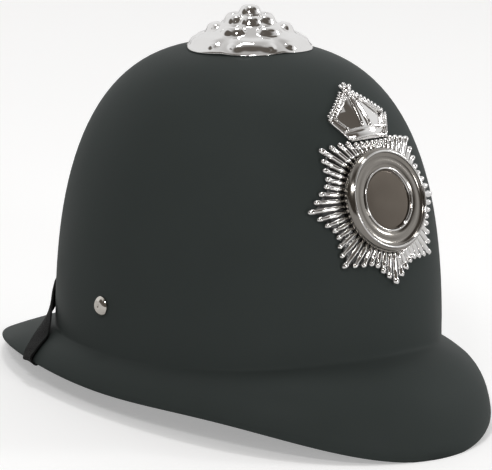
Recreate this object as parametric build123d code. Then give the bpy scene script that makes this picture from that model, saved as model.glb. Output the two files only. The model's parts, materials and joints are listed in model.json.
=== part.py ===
from build123d import *
from math import acos, asin, atan2, cos, degrees, hypot, pi, radians, sin
import os

# Custodian helmet, modelled as worn: front to -Y, wearer's left to +X, up +Z, with
# heights counted from the plane of the dome's widest oval. The last step tips the whole
# helmet back until it stands on its front and back peaks, and centres it over the origin.

# Dome: an oval that closes towards the crown by a power law.
half_width = 94.0
half_length = 110.3
dome_height = 160.9
dome_setback = 3.5
height_power = 2.645
plan_power = 2.9
wall = 2.2

# Brim at five bearings, 45 degrees apart, from the front peak round to the back peak.
seam_heights = (13.0, 8.3, 6.6, 8.6, 10.0)
brim_reaches = (34.7, 21.8, 11.8, 25.8, 36.9)
edge_heights = (-36.4, -18.7, -10.1, -0.9, -6.5)
# How the brim's section leaves the dome and turns down: front, side, back.
root_drop_shares = (0.07, 0.05, 0.20)
knee_reach_shares = (0.91, 0.80, 0.59)
knee_drop_shares = (0.09, 0.31, 0.64)
rest_flat_depth = 0.4

# Fits.
seat_gap = 0.25
soft_gap = 0.3
hole_clearance = 0.2
running_clearance = 0.05

# Crown boss: a stepped rosette on a stud.
boss_radius = 33.4
boss_height = 22.3
boss_lobes = 8
boss_facets = 48
stud_radius = 3.0
stud_engagement = 9.0
stud_tail = 9.5
boss_washer_radius = 9.0
boss_washer_thickness = 1.2
boss_nut_flats = 10.0
boss_nut_height = 5.0

# Badge: an eight-point fluted star, a ring with its disc, and a crown.
badge_height = 91.0
plate_thickness = 1.2
star_points = 8
rays_per_point = 7
star_radius = 43.5
star_waist = 34.0
ray_width = 2.5
ray_rise = 1.5
ring_radius = 25.9
ring_bore_radius = 17.8
ring_rise = 4.4
ring_bead = 1.5
ring_bead_rise = 0.8
ring_band_depth = 0.9
disc_thickness = 0.9
disc_dish = 0.6
disc_ledge = 2.2
crown_foot_height = 31.8
crown_shadow = radians(24)
crown_tall = 34.5
crown_foot_width = 23.0
crown_width = 38.5
crown_waist_rise = 15.5
crown_band_rise = 6.0
crown_bar_width = 1.5
crown_bar_rise = 1.2
pearl_radius = 1.25
pearls_per_side = 8
rib_places = 5
apex_knob_radius = 2.7
post_radius = 1.5
post_tail = 1.2
star_post_offset = 29.0
badge_washer_radius = 4.0
badge_washer_thickness = 0.8
badge_nut_flats = 5.5
badge_nut_height = 2.4

# Side rivets, their collars and the strap tabs that turn on them.
rivet_height = 31.1
rivet_setback = 14.1
rivet_head_radius = 5.15
rivet_head_rise = 2.3
rivet_dimple_radius = 0.9
rivet_shank_radius = 2.0
collar_radius = 5.0
collar_thickness = 2.8
tab_thickness = 1.0
tab_root_radius = 5.0
tab_length = 14.0
tab_bar = 2.0
tab_corner = 1.5
tab_dip = 37.0
clinch_radius = 3.4
clinch_thickness = 0.8

# Elastic chin strap, stowed round the back of the dome.
strap_width = 11.0
strap_thickness = 1.3
strap_lift = 1.15
hem_length = 4.0
free_span_shortest = 20.0
free_span_steps = 6

# Headband, sweatband, spacers and crown straps.
band_gap_side = 5.8
band_gap_end = 5.3
band_thickness = 1.5
band_low = 7.0
band_high = 35.0
sweat_thickness = 1.4
sweat_low = 4.0
sweat_high = 33.0
spacer_bearings = (20, 60, 140, 164, 196, 220, 300, 340)
spacer_width = 18.0
spacer_low = 20.0
spacer_high = 33.0
web_width = 20.0
web_thickness = 1.2
web_foot = 10.0
web_top = 118.0
web_crossing_gap = 1.0
web_rivet_height = 18.0
web_rivet_radius = 1.5
web_rivet_head_radius = 3.0
web_rivet_head = 0.8

# Numbers of sections, and a cutting tool's overrun.
ring_points = 32
dome_rings = 16
brim_rings = 8
tool_overrun = 10.0
probe = 0.01


def cosine_terms(stations):
    """Cosine series through values at evenly spaced bearings, front to back."""
    spans = len(stations) - 1
    terms = []
    for order in range(spans + 1):
        total = 0
        for place, value in enumerate(stations):
            weight = 0.5 if place in (0, spans) else 1
            total += weight * value * cos(pi * order * place / spans)
        terms.append((1 if order in (0, spans) else 2) * total / spans)
    return terms


seam_terms = cosine_terms(seam_heights)
reach_terms = cosine_terms(brim_reaches)
edge_terms = cosine_terms(edge_heights)


def around(terms, bearing):
    return sum(term * cos(order * bearing) for order, term in enumerate(terms))


def lip_share(shares, bearing):
    """Blend of the front, side and back shares of the brim's section."""
    front, side, back = shares
    facing = cos(bearing)
    tip = front if facing > 0 else back
    return side + (tip - side) * facing ** 2


def plan_share(height, skin):
    """How much of the oval is left at a height of the dome."""
    level = min(height / (dome_height + skin), 1)
    return (1 - max(level, 0) ** height_power) ** (1 / plan_power)


def dome_point(bearing, height, skin):
    """Point on the dome, set out from its outer face by skin."""
    share = plan_share(height, skin)
    x = (half_width + skin) * share * sin(bearing)
    y = dome_setback - (half_length + skin) * share * cos(bearing)
    return Vector(x, y, height)


def brim_point(bearing, along, skin, beyond=0):
    """Point on the brim, from the dome at 0 to the edge at 1, set off by skin."""
    seam = around(seam_terms, bearing)
    drop = seam - around(edge_terms, bearing)
    reach = around(reach_terms, bearing)
    root_drop = lip_share(root_drop_shares, bearing)
    knee_reach = lip_share(knee_reach_shares, bearing)
    knee_drop = lip_share(knee_drop_shares, bearing)
    rest = 1 - along
    out = 3 * rest * along ** 2 * knee_reach + along ** 3
    down = 3 * rest ** 2 * along * root_drop + 3 * rest * along ** 2 * knee_drop + along ** 3
    out_rate = 6 * rest * along * knee_reach + 3 * along ** 2 * (1 - knee_reach)
    down_rate = 3 * rest ** 2 * root_drop + 6 * rest * along * (knee_drop - root_drop)
    down_rate += 3 * along ** 2 * (1 - knee_drop)
    run = Vector(reach * out_rate, -drop * down_rate).normalized()
    outward = Vector(sin(bearing) / half_width, -cos(bearing) / half_length).normalized()
    foot = Vector(half_width * sin(bearing), dome_setback - half_length * cos(bearing))
    flat = foot + outward * (reach * out - skin * run.Y + beyond * run.X)
    return Vector(flat.X, flat.Y, seam - drop * down + skin * run.X + beyond * run.Y)


def ring(point_at):
    """Closed smooth curve through points at even bearings, starting at the back."""
    bearings = [pi + 2 * pi * step / ring_points for step in range(ring_points)]
    return Wire([Edge.make_spline([point_at(bearing) for bearing in bearings], periodic=True)])


def hole_ring(skin):
    radius = stud_radius + hole_clearance
    top = dome_height + skin
    return ring(lambda b: Vector(radius * sin(b), dome_setback - radius * cos(b), top))


def dome_ring(share, skin):
    def at(bearing):
        seam = around(seam_terms, bearing)
        return dome_point(bearing, seam + (dome_height + skin - seam) * share, skin)

    return ring(at)


def rise_share(step):
    """Height share of a dome section, from close under the top down to the seam."""
    share = (1 + cos(pi * step / dome_rings)) / 2
    return sin(share * pi / 2) ** (2 / height_power)


def skin_rings(skin):
    """Sections of one face of the shell, from the stud hole to the brim's edge."""
    rings = [hole_ring(skin)]
    for step in range(1, dome_rings + 1):
        rings.append(dome_ring(rise_share(step), skin))
    for step in range(1, brim_rings + 1):
        rings.append(ring(lambda b: brim_point(b, step / brim_rings, skin)))
    return rings


def dome_core(skin):
    """Solid dome up to a face set off by skin, cut off flat at its widest oval."""
    wires = []
    for step in range(1, dome_rings + 1):
        height = (dome_height + skin) * rise_share(step)
        wires.append(ring(lambda b: dome_point(b, height, skin)))
    return Solid.make_loft(wires)


def above_skin(point, skin):
    """Positive outside the offset dome, zero on it."""
    flat = hypot(point.X / (half_width + skin), (point.Y - dome_setback) / (half_length + skin))
    return flat - plan_share(point.Z, skin)


def dome_normal(point, skin):
    """Outward direction of the offset dome at a point on it."""
    slope = []
    for step in (Vector(probe, 0, 0), Vector(0, probe, 0), Vector(0, 0, probe)):
        slope.append(above_skin(point + step, skin) - above_skin(point - step, skin))
    return Vector(*slope).normalized()


def front_plane(height, skin=0):
    """Plane that touches the front of the dome on its centre line."""
    touch = dome_point(0, height, skin)
    return Plane(origin=touch, x_dir=(1, 0, 0), z_dir=dome_normal(touch, skin))


def on_dome(plane, across, up, skin):
    """Point of the offset dome straight behind a place on a plane."""
    start = plane.from_local_coords(Vector(across, up, 0))
    near = -tool_overrun
    far = half_width / 2
    for _ in range(50):
        middle = (near + far) / 2
        if above_skin(start - plane.z_dir * middle, skin) > 0:
            near = middle
        else:
            far = middle
    return start - plane.z_dir * near


def inner_wall_x(setback, height):
    """Distance of the shell's inner side wall from the centre plane."""
    share = plan_share(height, -wall)
    reach = (setback - dome_setback) / (half_length - wall) / share
    return (half_width - wall) * share * cos(asin(reach))


def on_plane(plane, solid):
    return plane.location * solid


def disc_at(plane, radius, low, high):
    """Round bar along a plane's normal, between two levels."""
    bar = Cylinder(radius, high - low, align=(Align.CENTER, Align.CENTER, Align.MIN))
    return on_plane(plane, Pos(0, 0, low) * bar)


def hex_nut(plane, flats, bore, low, high):
    """Hexagon nut along a plane's normal."""
    blank = extrude(RegularPolygon(flats / 2, 6, major_radius=False), high - low)
    hole = Cylinder(bore, 2 * (high - low) + tool_overrun)
    return on_plane(plane, Pos(0, 0, low) * (blank - hole))


def moulding(plane, places, widths, rises, skin):
    """Half-round moulding over the dome through places on a plane."""
    first = on_dome(plane, *places[0], skin)
    last = on_dome(plane, *places[-1], skin)
    along = (last - first).normalized()
    wires = []
    for place, width, rise in zip(places, widths, rises):
        centre = on_dome(plane, *place, skin)
        up = dome_normal(centre, skin)
        across = along.cross(up).normalized()
        points = []
        for step in range(5):
            turn = pi * step / 4
            points.append(centre + across * (width / 2 * cos(turn)) + up * (rise * sin(turn)))
        wires.append(Wire.make_polygon(points, close=True))
    return Solid.make_loft(wires, ruled=True)


def pearl(plane, across, up, radius, skin):
    """Small faceted bead that sits on the dome."""
    foot = on_dome(plane, across, up, skin)
    seat = Plane(origin=foot, x_dir=(1, 0, 0), z_dir=dome_normal(foot, skin))
    sections = []
    for level_share, radius_share in ((0, 0.8), (0.6, 1), (1.2, 0.8), (1.6, 0.3)):
        polygon = RegularPolygon(radius * radius_share, 8)
        sections.append(on_plane(seat, Pos(0, 0, radius * level_share) * polygon).face())
    return loft(sections, ruled=True)


def shell_blank():
    """Moulded dome and brim in one wall, open at the crown for the boss's stud."""
    outer = skin_rings(0)
    inner = skin_rings(-wall)
    faces = Shell.make_loft(outer).faces() + Shell.make_loft(inner).faces()
    faces += Shell.make_loft([outer[0], inner[0]], ruled=True).faces()
    faces += Shell.make_loft([outer[-1], inner[-1]], ruled=True).faces()
    return Solid(Shell(faces))


def post_planes():
    """Seats of the badge posts on the dome's centre line, lowest first."""
    star = front_plane(badge_height)
    low = on_dome(star, 0, -star_post_offset, 0)
    high = on_dome(star, 0, star_post_offset, 0)
    crown = on_dome(star, 0, crown_foot_height + crown_waist_rise, 0)
    return [front_plane(point.Z) for point in (low, high, crown)]


def rivet_plane(side):
    """Plane square to the side rivet, at the shell's inner wall."""
    x = side * inner_wall_x(rivet_setback, rivet_height)
    seat = Vector(x, rivet_setback, rivet_height)
    return Plane(origin=seat, x_dir=(0, 1, 0), z_dir=dome_normal(seat, -wall))


def make_shell():
    shell = shell_blank()
    for plane in post_planes():
        hole = post_radius + hole_clearance
        shell -= disc_at(plane, hole, -wall - tool_overrun, tool_overrun)
    for side in (-1, 1):
        hole = rivet_shank_radius + hole_clearance
        shell -= disc_at(rivet_plane(side), hole, -tool_overrun, tool_overrun)
    return shell


# Boss sections, rim to knob: radius, height, lobe depth, and turn between lobes.
boss_shares = (
    (0.95, -0.135, 0.03, 0.0),
    (1.00, -0.030, 0.05, 0.0),
    (0.91, 0.150, 0.07, 0.0),
    (0.80, 0.190, 0.04, 0.0),
    (0.86, 0.250, 0.08, 0.5),
    (0.80, 0.370, 0.10, 0.5),
    (0.66, 0.450, 0.10, 0.5),
    (0.57, 0.465, 0.04, 0.5),
    (0.63, 0.525, 0.08, 0.0),
    (0.56, 0.620, 0.12, 0.0),
    (0.43, 0.670, 0.10, 0.0),
    (0.36, 0.680, 0.03, 0.0),
    (0.40, 0.725, 0.10, 0.5),
    (0.33, 0.800, 0.12, 0.5),
    (0.20, 0.830, 0.06, 0.5),
    (0.22, 0.880, 0.08, 0.0),
    (0.18, 0.960, 0.12, 0.0),
    (0.09, 1.000, 0.10, 0.0),
)


def lobed_wire(radius, height, depth_share, turn_share):
    """Scalloped section of the rosette: rounded lobes with narrow valleys."""
    points = []
    for step in range(boss_facets):
        turn = 2 * pi * step / boss_facets
        phase = boss_lobes * turn / 2 + pi * turn_share
        reach = radius * (1 - depth_share + 2 * depth_share * abs(cos(phase)) - depth_share)
        points.append(Vector(reach * sin(turn), dome_setback - reach * cos(turn), height))
    return Wire.make_polygon(points, close=True)


def make_boss():
    """Rosette of four tiers of leaves, hollowed to the dome and bored for its stud."""
    wires = []
    for radius_share, height_share, depth_share, turn_share in boss_shares:
        height = dome_height + boss_height * height_share
        wires.append(lobed_wire(boss_radius * radius_share, height, depth_share, turn_share))
    boss = Solid.make_loft(wires, ruled=True)
    boss -= dome_core(seat_gap)
    crown = Plane(origin=(0, dome_setback, dome_height))
    bore = disc_at(crown, stud_radius + running_clearance, -tool_overrun, stud_engagement + seat_gap)
    return boss - bore


def crown_plane():
    return Plane(origin=(0, dome_setback, dome_height))


def make_boss_stud():
    return disc_at(crown_plane(), stud_radius, -wall - stud_tail, stud_engagement)


def make_boss_washer():
    low = -wall - seat_gap - boss_washer_thickness
    disc = disc_at(crown_plane(), boss_washer_radius, low, -wall - seat_gap)
    hole = disc_at(crown_plane(), stud_radius + hole_clearance, low - tool_overrun, tool_overrun)
    return disc - hole


def make_boss_nut():
    high = -wall - seat_gap - boss_washer_thickness
    bore = stud_radius + running_clearance
    return hex_nut(crown_plane(), boss_nut_flats, bore, high - boss_nut_height, high)


def ray_reach(index):
    """Length of a star ray: full at each point, less between points and under the crown."""
    middle = rays_per_point // 2
    step = abs((index + middle) % rays_per_point - middle)
    fall = step / (middle + 0.5)
    reach = star_radius - (star_radius - star_waist) * fall ** 0.8
    upward = -cos(ray_bearing(index))
    if upward > cos(crown_shadow):
        return min(reach, (crown_foot_height - ray_width / 4) / upward)
    return reach


def ray_bearing(index):
    return 2 * pi * index / (star_points * rays_per_point)


def star_outline():
    """Edge of the star's plate, stepping in between the ends of its rays."""
    count = star_points * rays_per_point
    points = []
    for index in range(count):
        end = ray_reach(index) - ray_width / 2
        notch = min(end, ray_reach(index + 1) - ray_width / 2) - ray_width / 2
        half_step = pi / count
        for reach, turn in ((end, ray_bearing(index)), (notch, ray_bearing(index) + half_step)):
            points.append((reach * sin(turn), -reach * cos(turn)))
    return make_face(Polyline(*points, close=True))


def dome_plate(plane, outline, skin, thickness):
    """Plate of even thickness that follows the front of the dome."""
    block = extrude(on_plane(plane, Pos(0, 0, -half_width / 2) * outline), half_width)
    return (block & dome_core(skin + thickness)) - dome_core(skin)


def make_badge_star():
    plane = front_plane(badge_height)
    star = dome_plate(plane, star_outline(), seat_gap, plate_thickness)
    skin = seat_gap + plate_thickness / 2
    rise = plate_thickness / 2 + ray_rise
    rays = []
    for index in range(star_points * rays_per_point):
        turn = ray_bearing(index)
        reach = ray_reach(index)
        root = ring_radius + seat_gap
        places = []
        for distance in (root, reach - ray_width / 2, reach):
            places.append((distance * sin(turn), -distance * cos(turn)))
        widths = (0.8 * ray_width, 1.1 * ray_width, 0.5 * ray_width)
        rises = (0.8 * rise, rise, 0.5 * rise)
        rays.append(moulding(plane, places, widths, rises, skin))
    return star + rays


def make_badge_ring():
    """Raised ring: skirt, outer bead, plain band, inner bead and the disc's ledge."""
    outer = ring_radius
    inner = ring_bore_radius
    band = ring_rise - ring_band_depth
    bead = ring_bead
    low = -ring_radius / 2
    points = (
        (outer, low),
        (outer, ring_rise - ring_bead_rise / 2),
        (outer - bead / 3, ring_rise),
        (outer - 2 * bead / 3, ring_rise),
        (outer - bead, band),
        (inner + bead, band),
        (inner + 2 * bead / 3, ring_rise),
        (inner + bead / 3, ring_rise),
        (inner, band),
        (inner, disc_ledge),
        (inner - bead, disc_ledge),
        (inner - bead, low),
    )
    profile = make_face(Plane.XZ * Polyline(*points, close=True))
    plane = front_plane(badge_height)
    blank = on_plane(plane, revolve(profile, Axis.Z))
    return blank - dome_core(2 * seat_gap + plate_thickness)


def make_badge_disc():
    """Dished centre disc that lies on the ring's ledge."""
    plane = front_plane(badge_height)
    radius = ring_bore_radius - hole_clearance
    low = disc_ledge + running_clearance
    rim = low + disc_thickness
    hollow_radius = (radius ** 2 + disc_dish ** 2) / (2 * disc_dish)
    hollow = Pos(0, 0, rim - disc_dish + hollow_radius) * Sphere(hollow_radius)
    return disc_at(plane, radius, low, rim) - on_plane(plane, hollow)


def crown_outline():
    """Half of the crown's edge, foot to apex, as places on the star's plane."""
    foot = crown_foot_height
    waist = foot + crown_waist_rise
    top = foot + crown_tall
    knob = apex_knob_radius / 2
    return (
        (crown_foot_width / 2, foot),
        (0.80 * crown_width / 2, foot + crown_waist_rise / 2),
        (crown_width / 2, waist),
        (0.62 * crown_width / 2, foot + 0.72 * crown_tall),
        (knob, top),
    )


def make_badge_crown():
    """Crown: shaped plate, base band, rim, pearls, a double rib and the apex knob."""
    star = front_plane(badge_height)
    middle = on_dome(star, 0, crown_foot_height + crown_tall / 2, 0)
    plane = front_plane(middle.Z)
    shift = plane.to_local_coords(star.from_local_coords(Vector(0, 0, 0))).Y
    half = [(across, up + shift) for across, up in crown_outline()]
    edge = half + [(-across, up) for across, up in reversed(half)]
    crown = dome_plate(plane, make_face(Polyline(*edge, close=True)), seat_gap, plate_thickness)
    skin = seat_gap + plate_thickness / 2
    rise = plate_thickness / 2 + crown_bar_rise
    foot = half[0][1]
    top = half[-1][1]
    wide = (crown_bar_width,) * 2
    tall = (rise,) * 2
    trims = []
    for side in (-1, 1):
        rim = [(side * across, up) for across, up in half]
        for start, end in zip(rim, rim[1:]):
            trims.append(moulding(plane, (start, end), wide, tall, skin))
        rib = []
        for step in range(rib_places):
            level = foot + crown_band_rise + (top - foot - crown_band_rise) * step / (rib_places - 1)
            rib.append((side * crown_bar_width / 2, level))
        trims.append(moulding(plane, rib, wide * rib_places, tall * rib_places, skin))
        for step in range(pearls_per_side):
            share = (step + 0.5) / pearls_per_side
            across, up = along_rim(half[2:], share)
            trims.append(pearl(plane, side * across, up, pearl_radius, skin + rise / 2))
    for level_share, width_share in ((0.15, 0.24), (0.85, 0.30)):
        level = foot + crown_band_rise * level_share
        reach = crown_width * (0.5 + level_share / 4) / 2 + crown_bar_width
        places = ((-reach, level), (0, level), (reach, level))
        width = crown_band_rise * width_share
        trims.append(moulding(plane, places, (width,) * 3, (rise,) * 3, skin))
    trims.append(pearl(plane, 0, top, apex_knob_radius, skin))
    return crown + trims


def along_rim(points, share):
    """Place at a share of the way along a run of points."""
    spans = list(zip(points, points[1:]))
    lengths = [hypot(b[0] - a[0], b[1] - a[1]) for a, b in spans]
    left = share * sum(lengths)
    for (a, b), length in zip(spans, lengths):
        if left <= length:
            part = left / length
            return a[0] + (b[0] - a[0]) * part, a[1] + (b[1] - a[1]) * part
        left -= length
    return points[-1]


def inner_seat(plane):
    """Level of a washer inside the shell, behind a plane on its outer face."""
    return -(plane.origin - on_dome(plane, 0, 0, -wall)).length - seat_gap


def make_badge_posts():
    nut = badge_washer_thickness + badge_nut_height
    posts = []
    for plane in post_planes():
        low = inner_seat(plane) - nut - post_tail
        posts.append(disc_at(plane, post_radius, low, seat_gap - running_clearance))
    return posts


def make_badge_washers():
    washers = []
    for plane in post_planes():
        high = inner_seat(plane)
        disc = disc_at(plane, badge_washer_radius, high - badge_washer_thickness, high)
        hole = disc_at(plane, post_radius + hole_clearance, -tool_overrun, tool_overrun)
        washers.append(disc - hole)
    return washers


def make_badge_nuts():
    bore = post_radius + running_clearance
    nuts = []
    for plane in post_planes():
        high = inner_seat(plane) - badge_washer_thickness
        nuts.append(hex_nut(plane, badge_nut_flats, bore, high - badge_nut_height, high))
    return nuts


def tab_level():
    """Level of the strap tab's outer face on the rivet's plane."""
    return -seat_gap - collar_thickness


def make_rivet(side):
    """Dimpled dome-headed rivet with its inner end clinched over the strap tab."""
    plane = rivet_plane(side)
    radius = rivet_head_radius
    rise = rivet_head_rise
    crown = wall + seat_gap + rise
    sink = wall / 2
    skirt = Polyline((0, sink), (radius, sink), (radius, crown - 0.7 * rise))
    dome = ThreePointArc(
        (radius, crown - 0.7 * rise), (0.72 * radius, crown - 0.17 * rise), (rivet_dimple_radius, crown)
    )
    dimple = Polyline((rivet_dimple_radius, crown), (0, crown - rise / 4), (0, sink))
    profile = make_face(Plane.XZ * (skirt + dome + dimple))
    head = on_plane(plane, revolve(profile, Axis.Z)) - dome_core(seat_gap / 2)
    end = tab_level() - tab_thickness - running_clearance
    shank = disc_at(plane, rivet_shank_radius, end - clinch_thickness, wall + rise / 2)
    clinch = disc_at(plane, clinch_radius, end - clinch_thickness, end)
    return head + shank + clinch


def make_collar(side):
    """Spacing collar between the shell and the strap tab."""
    plane = rivet_plane(side)
    blank = disc_at(plane, collar_radius, tab_level() + running_clearance, wall)
    bore = disc_at(plane, rivet_shank_radius + running_clearance, -tool_overrun, tool_overrun)
    return (blank - bore) & dome_core(-wall - seat_gap / 2)


def tab_location(side):
    """Inner face of the strap tab, with its length along X."""
    level = Pos(0, 0, tab_level() - tab_thickness)
    return rivet_plane(side).location * level * Rot(0, 0, -side * tab_dip)


def make_tab(side):
    """Flat tab that turns on the rivet and carries the strap's end in its slot."""
    slot_width = strap_thickness + 2 * soft_gap
    slot_length = strap_width + 2 * soft_gap
    slot_middle = tab_length - tab_bar - slot_width / 2
    end = RectangleRounded(2 * tab_bar + slot_width, slot_length + 2 * tab_bar, tab_corner)
    outline = make_hull(Circle(tab_root_radius).edges() + (Pos(slot_middle, 0) * end).edges())
    outline -= Pos(slot_middle, 0) * Rectangle(slot_width, slot_length)
    outline -= Circle(rivet_shank_radius + running_clearance)
    return tab_location(side) * extrude(outline, tab_thickness)


def make_hem(side):
    """Strap's end, folded round the tab's outer bar and sewn to itself."""
    layer = strap_thickness + soft_gap
    start = tab_length - tab_bar - strap_thickness - soft_gap
    middle = (Align.MIN, Align.CENTER, Align.MIN)
    length = tab_length + soft_gap + hem_length - start
    block = Pos(start, 0, -layer) * Box(length, strap_width, tab_thickness + 2 * layer, align=middle)
    bar = tab_bar + 2 * soft_gap
    gap = tab_thickness + 2 * soft_gap
    tunnel = Pos(start + strap_thickness, 0, -soft_gap) * Box(bar, 2 * strap_width, gap, align=middle)
    return tab_location(side) * (block - tunnel)


# Strap's run on the skin after the hem: bearing, place (1 at the brim's edge, 0 at the
# seam, below 0 a share of the dome's height), side of the wall, and lean past the edge.
strap_rows = (
    (108.6, -0.045, -1, 0),
    (110.6, 0, -1, 0),
    (112.6, 0.16, -1, 0),
    (115.0, 0.45, -1, 0),
    (117.3, 0.80, -1, 0),
    (118.6, 1.00, -1, 0),
    (119.0, 1.00, -1, 45),
    (119.6, 1.00, 1, 45),
    (120.0, 1.00, 1, 0),
    (121.8, 0.80, 1, 0),
    (124.2, 0.60, 1, 0),
    (140.0, -0.070, 1, 0),
    (146.0, -0.092, 1, 0),
    (152.0, -0.108, 1, 0),
    (158.0, -0.124, 1, 0),
    (165.5, -0.138, 1, 0),
    (173.0, -0.147, 1, 0),
    (180.0, -0.150, 1, 0),
)


def skin_place(bearing, place, skin, beyond):
    """Point of an offset face at a bearing in radians and a place up or down it."""
    if place > 0:
        return brim_point(bearing, place, skin, beyond)
    seam = around(seam_terms, bearing)
    return dome_point(bearing, seam - (dome_height - seam) * place, skin)


def strap_spot(row, height):
    """Point at a height off the wall, on the strap's centre line."""
    bearing, place, side, lean = row
    skin = height * cos(radians(lean))
    base = skin if side > 0 else -wall - skin
    return skin_place(radians(bearing), place, base, height * sin(radians(lean)))


def strap_section(before, spot, up, after):
    """Section of the strap square to its run."""
    along = (after - before).normalized()
    across = along.cross(up).normalized()
    side = across * (strap_width / 2)
    rise = across.cross(along) * (strap_thickness / 2)
    corners = [spot + side + rise, spot - side + rise, spot - side - rise, spot + side - rise]
    return Wire.make_polygon(corners, close=True)


def stretch_free(spots, ups, spot, up):
    """Straight, evenly twisting run of the strap to a place further on."""
    last_spot = spots[-1]
    last_up = ups[-1]
    for step in range(1, free_span_steps):
        share = step / free_span_steps
        spots.append(last_spot + (spot - last_spot) * share)
        ups.append(last_up + (up - last_up) * share)


def make_chin_strap():
    """Elastic strap: from the left tab down inside, round the edge and round the back."""
    hem_end = tab_length + soft_gap + hem_length
    hem_level = tab_thickness + soft_gap + strap_thickness / 2
    start = tab_location(1)
    spots = [(start * Pos(hem_end - strap_width / 2, 0, hem_level)).position]
    spots.append((start * Pos(hem_end - soft_gap, 0, hem_level)).position)
    ups = [-rivet_plane(1).z_dir] * 2
    for row in strap_rows:
        near = strap_spot(row, strap_lift)
        far = strap_spot(row, strap_lift + strap_thickness)
        spot = (near + far) / 2
        up = (far - near).normalized()
        if (spot - spots[-1]).length > free_span_shortest:
            stretch_free(spots, ups, spot, up)
        spots.append(spot)
        ups.append(up)
    spots.append(Vector(-spots[-2].X, spots[-2].Y, spots[-2].Z))
    sections = []
    for before, spot, up, after in zip(spots, spots[1:], ups[1:], spots[2:]):
        sections.append(strap_section(before, spot, up, after))
    half = Solid.make_loft(sections, ruled=True) + make_hem(1)
    return half + half.mirror(Plane.YZ)


def oval(gap_side, gap_end):
    """Oval inside the shell's inner face by a side gap and an end gap."""
    face = Ellipse(half_width - wall - gap_side, half_length - wall - gap_end)
    return Pos(0, dome_setback) * face


def oval_band(gap_side, gap_end, thickness, low, high):
    blank = extrude(oval(gap_side, gap_end), high - low)
    hole = extrude(oval(gap_side + thickness, gap_end + thickness), high - low)
    return Pos(0, 0, low) * (blank - hole)


def web_planes():
    """Upright planes of the long and the cross strap, with each strap's half span."""
    long_plane = Plane(origin=(0, dome_setback, 0), x_dir=(0, 1, 0), z_dir=(1, 0, 0))
    cross_plane = Plane(origin=(0, dome_setback, 0), x_dir=(1, 0, 0), z_dir=(0, -1, 0))
    inset = wall + band_thickness + running_clearance
    long_span = half_length - inset - band_gap_end
    cross_span = half_width - inset - band_gap_side
    return (long_plane, long_span), (cross_plane, cross_span)


def web_hole(height, side, span):
    return Pos(side * span, height, 0) * Rot(0, 90, 0)


def make_web(plane, span, top):
    """Crown strap: two upright feet that follow the headband and an arch between them."""
    shoulder = band_high + seat_gap
    outer = Pos(0, shoulder) * Ellipse(span, top - shoulder)
    inner = Pos(0, shoulder) * Ellipse(span - web_thickness, top - web_thickness - shoulder)
    upper = Pos(0, shoulder) * Rectangle(2 * span, top, align=(Align.CENTER, Align.MIN))
    web = on_plane(plane, extrude((outer - inner) & upper, web_width / 2, both=True))
    inset = band_thickness + running_clearance
    gaps = (band_gap_side + inset, band_gap_end + inset)
    feet = oval_band(*gaps, web_thickness, web_foot, shoulder + web_thickness)
    web += feet & on_plane(plane, Box(4 * span, 4 * top, web_width))
    for side in (-1, 1):
        hole = Cylinder(web_rivet_radius + running_clearance, tool_overrun)
        web -= on_plane(plane, web_hole(web_rivet_height, side, span) * hole)
    return web


def make_headband():
    band = oval_band(band_gap_side, band_gap_end, band_thickness, band_low, band_high)
    for plane, span in web_planes():
        for side in (-1, 1):
            hole = Cylinder(web_rivet_radius + running_clearance, tool_overrun)
            band -= on_plane(plane, web_hole(web_rivet_height, side, span) * hole)
    return band


def make_sweatband():
    inset = band_thickness + running_clearance + web_thickness + soft_gap
    gaps = (band_gap_side + inset, band_gap_end + inset)
    return oval_band(*gaps, sweat_thickness, sweat_low, sweat_high)


def make_spacers():
    """Blocks that hold the headband off the shell."""
    hollow = dome_core(-wall - 2 * seat_gap)
    keep_out = Pos(0, 0, spacer_low) * offset_oval(seat_gap, spacer_high - spacer_low)
    spacers = []
    for bearing in spacer_bearings:
        turn = radians(bearing)
        outward = Vector(sin(turn) / half_width, -cos(turn) / half_length).normalized()
        place = dome_point(turn, spacer_low, -wall)
        seat = Plane(origin=place, x_dir=outward, z_dir=(0, 0, 1))
        deep = 4 * max(band_gap_side, band_gap_end)
        anchor = (Align.CENTER, Align.CENTER, Align.MIN)
        block = Box(deep, spacer_width, spacer_high - spacer_low, align=anchor)
        spacers.append((on_plane(seat, block) & hollow) - keep_out)
    return spacers


def offset_oval(gap, tall):
    """Solid oval just larger than the headband."""
    return extrude(oval(band_gap_side - gap, band_gap_end - gap), tall)


def make_web_rivets():
    """Rivets that hold the crown straps to the headband."""
    rivets = []
    for plane, span in web_planes():
        for side in (-1, 1):
            outer = band_thickness + running_clearance + seat_gap / 2
            seat = web_hole(web_rivet_height, side, span)
            flip = seat if side > 0 else seat * Rot(0, 180, 0)
            low = align_low(web_rivet_radius, outer + web_thickness + web_rivet_head / 2)
            shank = Pos(0, 0, -web_thickness) * low
            head = Pos(0, 0, outer) * align_low(web_rivet_head_radius, web_rivet_head)
            rivets.append(on_plane(plane, flip * (shank + head)))
    return rivets


def align_low(radius, tall):
    return Cylinder(radius, tall, align=(Align.CENTER, Align.CENTER, Align.MIN))


def lowest_tip(bearing):
    """Lowest corner of the brim's edge on the centre line."""
    corners = (brim_point(bearing, 1, 0), brim_point(bearing, 1, -wall))
    return min(corners, key=lambda corner: corner.Z)


def rest_turn():
    """Angle that lays the front and back peaks on one level."""
    front = lowest_tip(0)
    back = lowest_tip(pi)
    return -degrees(atan2(back.Z - front.Z, back.Y - front.Y))


def rest_location(parts):
    """Move from the worn frame to the frame with its origin under the standing helmet."""
    tipped = Rot(rest_turn(), 0, 0)
    corners = [(tipped * part).bounding_box() for part in parts]
    middle_y = (min(box.min.Y for box in corners) + max(box.max.Y for box in corners)) / 2
    floor = (tipped * Pos(lowest_tip(0))).position.Z
    return Pos(0, -middle_y, -floor - rest_flat_depth) * tipped


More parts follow.
